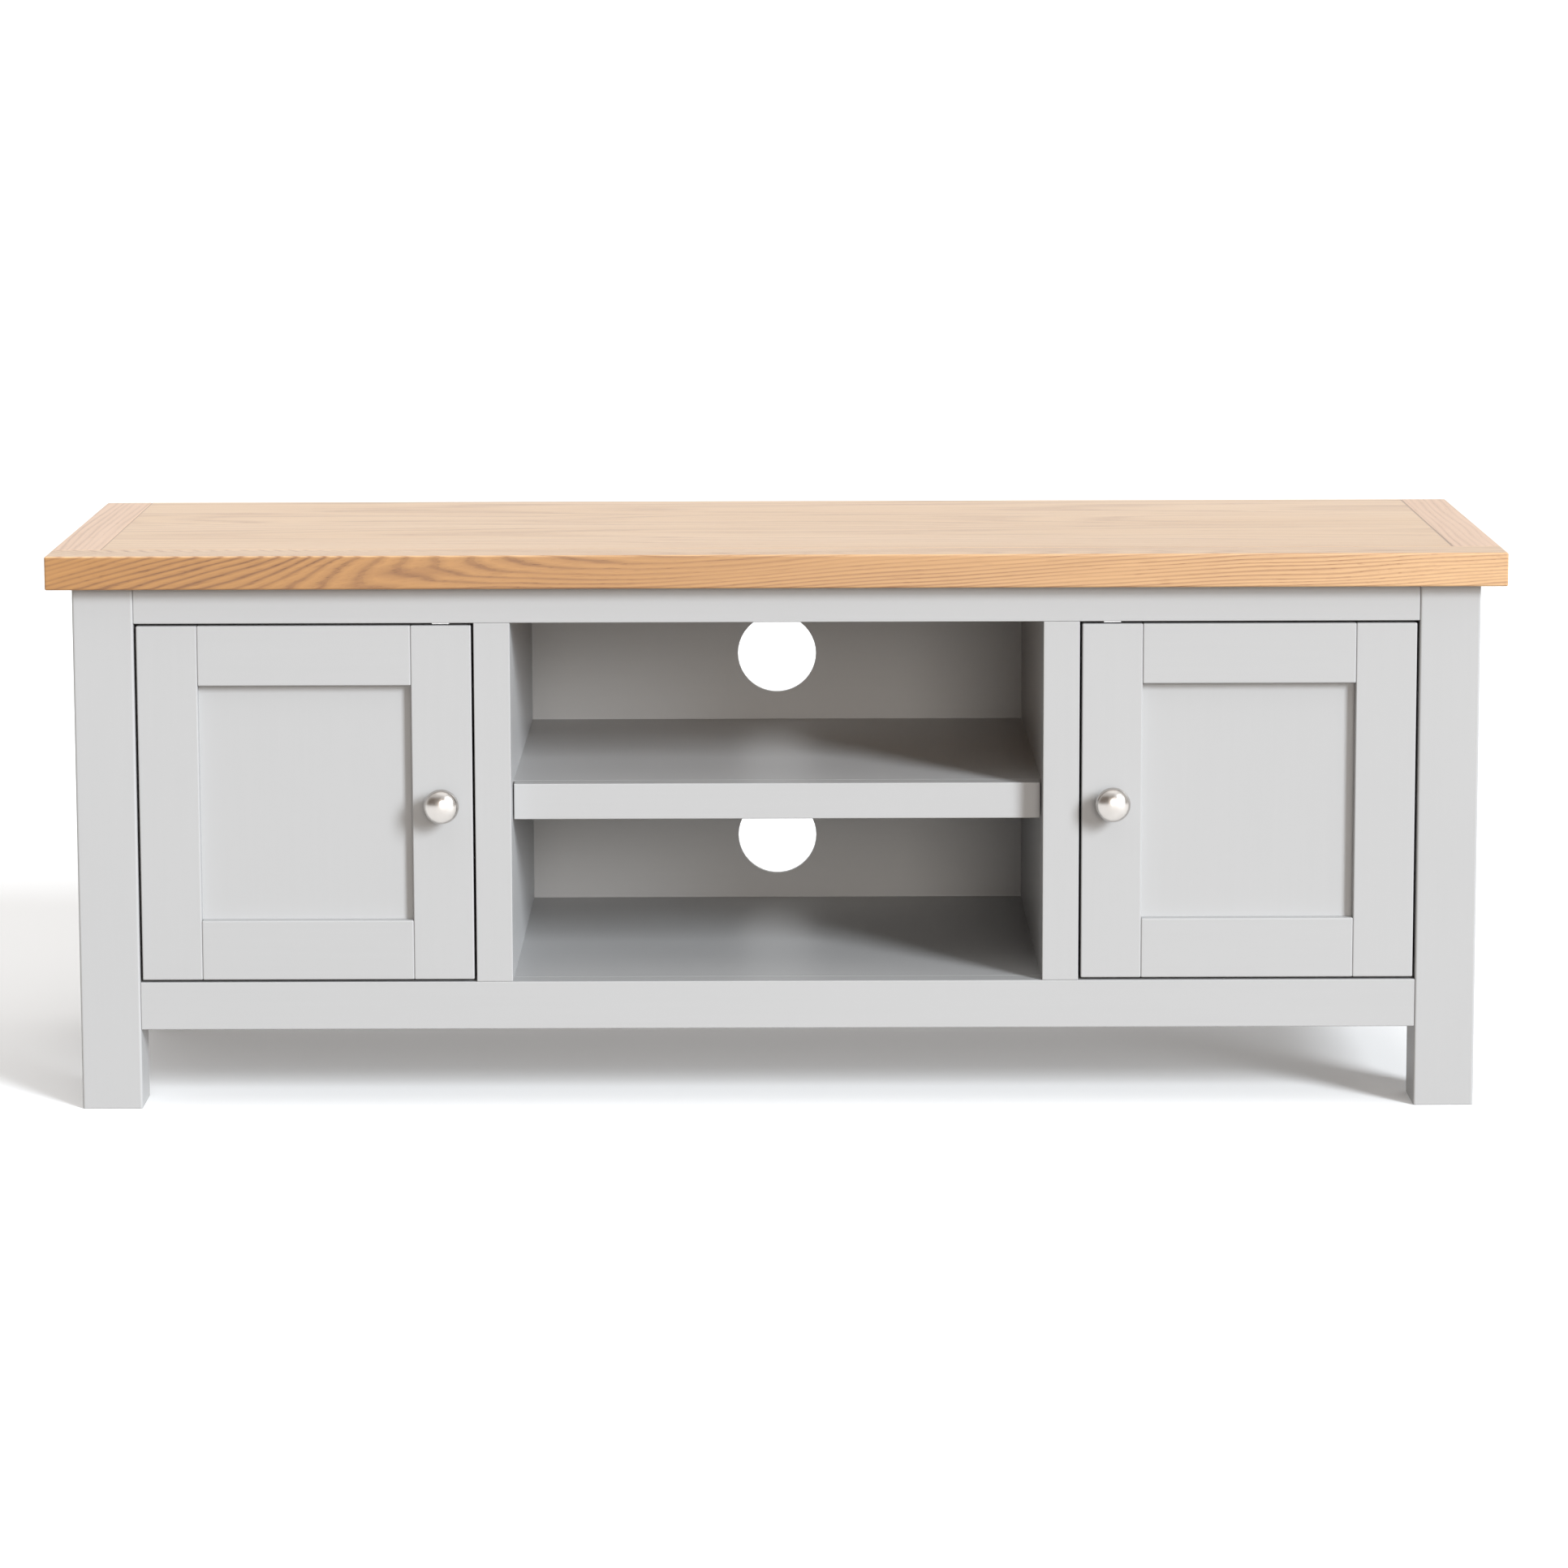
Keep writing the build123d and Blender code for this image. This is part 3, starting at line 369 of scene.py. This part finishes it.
def strip_run(tree, axes):
    """How far along the strip a point is, from 0 at the left end to 1 at the right."""
    return ramp(tree, axes[0], strip_low.x, strip_high.x)


def strip_tones(tree, place):
    """The strip's tones: a golden left end and a brown fleck in the left half on its front face, and painted
    sheen on its top face, which takes the top boards' paler colours.
    """
    axes = add(tree, "SeparateXYZ", {0: place}).outputs
    along = maths(tree, "POWER", strip_run(tree, axes), 1.5)
    across = maths(tree, "DIVIDE", maths(tree, "SUBTRACT", axes[0], fleck_place), fleck_reach)
    above = maths(tree, "DIVIDE", maths(tree, "SUBTRACT", axes[2], strip_middle.z), fleck_rise)
    away = add(tree, "CombineXYZ", {0: across, 1: above}).outputs[0]
    distance = add(tree, "VectorMath", {0: away}, operation="LENGTH").outputs["Value"]
    stain = ramp(tree, distance, 1.0, 0.2, high=0.55)
    # Painted sheen: the strip's top face is given the top boards' paler colours, so it is lighter than its
    # own front face.
    painted_sheen_top = ramp(tree, axes[2], strip_high.z - painted_sheen_start, strip_high.z - painted_sheen_end)
    left_pale, right_pale = (0.42, 0.205, 0.055, 1.0), (0.70, 0.46, 0.250, 1.0)
    left_warm, right_warm = (0.35, 0.160, 0.036, 1.0), (0.60, 0.36, 0.165, 1.0)
    left_dark, right_dark = (0.13, 0.045, 0.010, 1.0), (0.24, 0.105, 0.035, 1.0)
    pale_edge = blend_colours(tree, stain, blend_colours(tree, along, left_pale, right_pale), fleck_brown)
    warm_edge = blend_colours(tree, stain, blend_colours(tree, along, left_warm, right_warm), fleck_brown)
    dark_edge = blend_colours(tree, along, left_dark, right_dark)
    return {
        "Pale": blend_colours(tree, painted_sheen_top, pale_edge, oak_pale),
        "Warm": blend_colours(tree, painted_sheen_top, warm_edge, oak_warm),
        "Dark": blend_colours(tree, painted_sheen_top, dark_edge, oak_dark),
    }


def swept_grain(tree, place):
    """Shift height and depth along the strip, so that the rings follow a bent log."""
    axes = add(tree, "SeparateXYZ", {0: place}).outputs
    along = strip_run(tree, axes)
    offsets = []
    for stops in (pith_depth, pith_climb):
        curve = add(tree, "FloatCurve", {"Value": along})
        points = curve.mapping.curves[0].points
        points[0].location = stops[0]
        points[1].location = stops[-1]
        for stop in stops[1:-1]:
            points.new(*stop)
        curve.mapping.update()
        offsets.append(maths(tree, "MULTIPLY", curve.outputs[0], pith_swing))
    depth = maths(tree, "SUBTRACT", axes[1], offsets[0])
    height = maths(tree, "SUBTRACT", axes[2], offsets[1])
    return add(tree, "CombineXYZ", {0: axes[0], 1: depth, 2: height}).outputs[0]


strip_oak = oak(
    "oak_front_strip", pith=(0.0, -strip_low.y, -(strip_middle.z - pith_swing / 2)), turn=(0.0, 0.0, 0.0),
    ring_gap=0.0027, contrast=1.15, bend=swept_grain, tones=strip_tones,
)
dress(["top_front_strip"], strip_oak)

joint_brown = (0.22, 0.12, 0.06, 1.0)
joint_core, joint_width = 0.0008, 0.0018


def jointed(low, high):
    """Tones for a board whose ends butt against a cross board: each joint shows as a thin dark line."""
    def tones(tree, place):
        run = add(tree, "SeparateXYZ", {0: place}).outputs[0]
        from_left = maths(tree, "SUBTRACT", run, low.x)
        from_right = maths(tree, "SUBTRACT", high.x, run)
        clear = ramp(tree, maths(tree, "MINIMUM", from_left, from_right), joint_core, joint_width)
        return {
            "Pale": blend_colours(tree, clear, joint_brown, oak_pale),
            "Warm": blend_colours(tree, clear, joint_brown, oak_warm),
        }
    return tones


# Each long board comes from its own log: the gap between its rings, where the pith lay from the
# board's middle, and how far the board was sawn askew.
board_contrast = 0.85
board_tilt = 0.02
long_boards = {
    "top_plank_front": (0.006, (0.0, -0.03, 0.075), -0.012),
    "top_plank_middle": (0.005, (0.37, -0.01, 0.095), 0.0),
    "top_plank_back": (0.007, (0.74, 0.01, 0.115), 0.012),
}
for plank, (ring_gap, offset, askew) in long_boards.items():
    low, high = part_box(plank)
    centre = (low + high) / 2
    plank_oak = oak(
        f"oak_{plank[4:]}", pith=(offset[0], offset[1] - centre.y, offset[2] - centre.z),
        turn=(0.0, board_tilt, askew), ring_gap=ring_gap, contrast=board_contrast, tones=jointed(low, high),
    )
    dress([plank], plank_oak)


def end_tones(tree, place):
    """The end boards came from a slightly pinker log."""
    return {"Pale": (0.76, 0.51, 0.34, 1.0), "Warm": (0.69, 0.43, 0.26, 1.0)}


end_oak = oak(
    "oak_end_boards", pith=(0.2, -0.02, 0.06 - strip_middle.z), turn=(0.0, 0.0, math.pi / 2),
    ring_gap=0.006, contrast=board_contrast, tones=end_tones,
)
dress(["top_end_boards"], end_oak)

# ---------------------------------------------------------------- doors
# Each door is a frame of two stiles and two rails round a thin flat panel, glued up and sprayed with
# the same paint as the cabinet.
for side in ("left", "right"):
    dress([f"{side}_door_hinge_stile", f"{side}_door_lock_stile", f"{side}_door_panel"], upright_paint)
    dress([f"{side}_door_top_rail", f"{side}_door_bottom_rail"], level_paint)

# ---------------------------------------------------------------- knobs
# Solid turned knobs in brushed nickel: a small foot, a waisted neck and a mushroom head with a low
# domed face. A screw from the back of the lock stile holds each one.
knob_steps = 96
smooth_limit = math.radians(40)
knob_nickel = metal(
    "brushed_nickel", bright=(0.66, 0.63, 0.60, 1.0), dull=(0.52, 0.49, 0.46, 1.0), gloss=0.2,
    scratches=(500.0, 500.0, 60.0),
)


def arc(centre, radii, start, end, steps):
    """Points on an ellipse about a centre, between two angles in degrees."""
    angles = [math.radians(start + (end - start) * step / steps) for step in range(steps + 1)]
    return [(centre[0] + radii[0] * math.cos(a), centre[1] + radii[1] * math.sin(a)) for a in angles]


def turned_knob(side):
    """Spin the knob's outline about its own axis, out from the door's face."""
    low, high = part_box(f"{side}_knob")
    middle = (low + high) / 2
    radius = (high.x - low.x) / 2
    reach = high.y - low.y
    foot, neck, collar = radius * 0.48, radius * 0.345, radius * 0.94
    foot_top, waist, under_head = reach * 0.05, reach * 0.24, reach * 0.42
    rim, rim_round = reach * 0.66, reach * 0.06
    outline = [(foot, 0.0), (foot, foot_top)]
    outline += arc((foot, waist), (foot - neck, waist - foot_top), 270, 180, 8)[1:]
    outline += arc((collar, under_head), (collar - neck, rim - rim_round - under_head), 180, 90, 10)[1:]
    outline += arc((radius - rim_round, rim), (rim_round, rim_round), 270, 400, 8)[1:]
    shoulder = outline[-1]
    outline += arc((0.0, shoulder[1]), (shoulder[0], reach - shoulder[1]), 0, 90, 16)[1:]
    shape = bmesh.new()
    points = [shape.verts.new((middle.x + r, high.y - out, middle.z)) for r, out in outline]
    edges = [shape.edges.new(pair) for pair in zip(points, points[1:])]
    bmesh.ops.spin(
        shape, geom=points + edges, cent=(middle.x, 0.0, middle.z), axis=(0.0, 1.0, 0.0),
        angle=2 * math.pi, steps=knob_steps, use_merge=True,
    )
    bmesh.ops.remove_doubles(shape, verts=shape.verts, dist=1e-6)
    bmesh.ops.holes_fill(shape, edges=[e for e in shape.edges if e.is_boundary], sides=0)
    bmesh.ops.recalc_face_normals(shape, faces=shape.faces)
    return shape


def piece_from(name, shape, material, body):
    """Turn a finished bmesh into a smooth-shaded piece that rides on a body."""
    mesh = bpy.data.meshes.new(name)
    shape.to_mesh(mesh)
    shape.free()
    mesh.materials.append(material)
    for face in mesh.polygons:
        face.use_smooth = True
    mesh.set_sharp_from_angle(angle=smooth_limit)
    made = bpy.data.objects.new(name, mesh)
    bpy.context.scene.collection.objects.link(made)
    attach(made, body)
    return made


for side in ("left", "right"):
    knob = piece_from(f"{side}_turned_knob", turned_knob(side), knob_nickel, f"{side}_door")
    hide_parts(f"{side}_knob")
    dress([f"{side}_knob_screw"], screw_zinc)

# ---------------------------------------------------------------- cup hinges
# Pressed and nickel-plated concealed hinges: a cup let into the back of each door, a cranked link,
# a forked arm and a cross-shaped plate screwed to the batten behind the leg.
hinge_metal = metal(
    "hinge_nickel", bright=(0.76, 0.75, 0.73, 1.0), dull=(0.60, 0.59, 0.57, 1.0), gloss=0.18,
    scratches=(60.0, 900.0, 900.0),
)
dress(["hinge_plates", "hinge_arms"], hinge_metal)
dress(["hinge_screws"], screw_zinc)
for side in ("left", "right"):
    dress([f"{side}_hinge_links", f"{side}_hinge_pins", f"{side}_hinge_cups"], hinge_metal)
    dress([f"{side}_cup_screws"], screw_zinc)

# ---------------------------------------------------------------- magnetic catches
# A small round plated magnet is let into the back of each lock stile, near its top. It pulls on a
# bent zinc-plated plate that is screwed to the underside of the front top rail.
magnet_metal = metal(
    "magnet_nickel", bright=(0.5, 0.5, 0.51, 1.0), dull=(0.36, 0.36, 0.37, 1.0), gloss=0.25,
    scratches=(300.0, 300.0, 300.0),
)
dress(["left_catch_magnet", "right_catch_magnet"], magnet_metal)
dress(["catch_plates"], zinc)
dress(["catch_screws"], screw_zinc)

# ---------------------------------------------------------------- studio
# A wide pale floor, a tall soft light to the right of the front, a low light from the front, a weak
# one from above, and walls that are white behind the cabinet and dim on the camera's side.
floor_reach = 200.0
floor_shape = bmesh.new()
bmesh.ops.create_grid(floor_shape, x_segments=1, y_segments=1, size=floor_reach)
floor_mesh = bpy.data.meshes.new("studio_floor")
floor_shape.to_mesh(floor_mesh)
floor_shape.free()
floor = bpy.data.objects.new("studio_floor", floor_mesh)
bpy.context.scene.collection.objects.link(floor)
floor_paint = bpy.data.materials.new("studio_floor")
floor_paint.use_nodes = True
floor_tree = floor_paint.node_tree
floor_surface = floor_tree.nodes["Principled BSDF"]
floor_spots = speckle(floor_tree, add(floor_tree, "TexCoord").outputs["Object"], 2.0)
floor_white = blend_colours(floor_tree, floor_spots, (0.93, 0.93, 0.93, 1.0), (0.95, 0.95, 0.95, 1.0))
floor_tree.links.new(floor_white, floor_surface.inputs["Base Color"])
floor_surface.inputs["Roughness"].default_value = 0.7
floor_surface.inputs["Specular IOR Level"].default_value = 0.2
floor_surface.inputs["Emission Color"].default_value = (1.0, 1.0, 1.0, 1.0)
floor_surface.inputs["Emission Strength"].default_value = 0.06
floor_mesh.materials.append(floor_paint)
floor.visible_diffuse = False  # so the floor throws no light up onto the cabinet

# Each light: its bearing to the right of the front, its height and its spread, all in degrees, then
# its strength and its colour. The two key lights stand one above the other as one tall light.
studio_lights = {
    "key_light_low": (41.0, 15.0, 16.0, 1.6, (0.95, 1.0, 1.05)),
    "key_light_high": (41.0, 26.0, 16.0, 3.1, (0.95, 1.0, 1.05)),
    "front_light": (6.0, 8.0, 22.0, 1.1, (1.0, 0.94, 0.88)),
    "top_light": (10.0, 78.0, 50.0, 0.3, (1.0, 1.0, 1.0)),
}
for name, (bearing, height, spread, strength, tint) in studio_lights.items():
    lamp = bpy.data.lights.new(name, "SUN")
    lamp.energy = strength
    lamp.angle = math.radians(spread)
    lamp.color = tint
    bearing, height = math.radians(bearing), math.radians(height)
    towards = Vector((
        math.cos(height) * math.sin(bearing), -math.cos(height) * math.cos(bearing), math.sin(height),
    ))
    lit = bpy.data.objects.new(name, lamp)
    lit.rotation_euler = (-towards).to_track_quat("-Z", "Y").to_euler()
    bpy.context.scene.collection.objects.link(lit)

world = bpy.data.worlds.new("studio_walls")
bpy.context.scene.world = world
world.use_nodes = True
walls = world.node_tree
bearing_axes = add(walls, "SeparateXYZ", {0: add(walls, "TexCoord").outputs["Generated"]}).outputs
front_side = add(
    walls, "MapRange", {"Value": bearing_axes[1], "From Min": 0.1, "From Max": -0.5},
    interpolation_type="SMOOTHSTEP",
).outputs[0]
below_ceiling = add(
    walls, "MapRange", {"Value": bearing_axes[2], "From Min": 0.75, "From Max": 0.45},
    interpolation_type="SMOOTHSTEP",
).outputs[0]
dimness = maths(walls, "MULTIPLY", front_side, below_ceiling)
wall_colour = blend_colours(walls, dimness, (1.0, 0.99, 0.98, 1.0), (0.25, 0.205, 0.17, 1.0))
walls.links.new(wall_colour, walls.nodes["Background"].inputs["Color"])
walls.nodes["Background"].inputs["Strength"].default_value = 0.84

# ---------------------------------------------------------------- camera
# A long lens in front of the cabinet, a little above it, looking slightly down.
camera_data = bpy.data.cameras.new("camera")
camera_data.lens = 116.5
camera_data.sensor_width = 36.0
camera_data.shift_y = -0.086
camera_data.clip_start = 0.1
camera_data.clip_end = 1000.0
camera = bpy.data.objects.new("camera", camera_data)
camera_place = Vector((0.0029, -4.3208, 0.9687))
camera_pitch, camera_yaw, camera_roll = math.radians(8.014), math.radians(-0.044), math.radians(-0.156)
camera.matrix_world = (
    Matrix.Translation(camera_place)
    @ Matrix.Rotation(camera_yaw, 4, "Z")
    @ Matrix.Rotation(math.pi / 2 - camera_pitch, 4, "X")
    @ Matrix.Rotation(camera_roll, 4, "Z")
)
bpy.context.scene.collection.objects.link(camera)
bpy.context.scene.camera = camera
bpy.context.scene.view_settings.view_transform = "Standard"
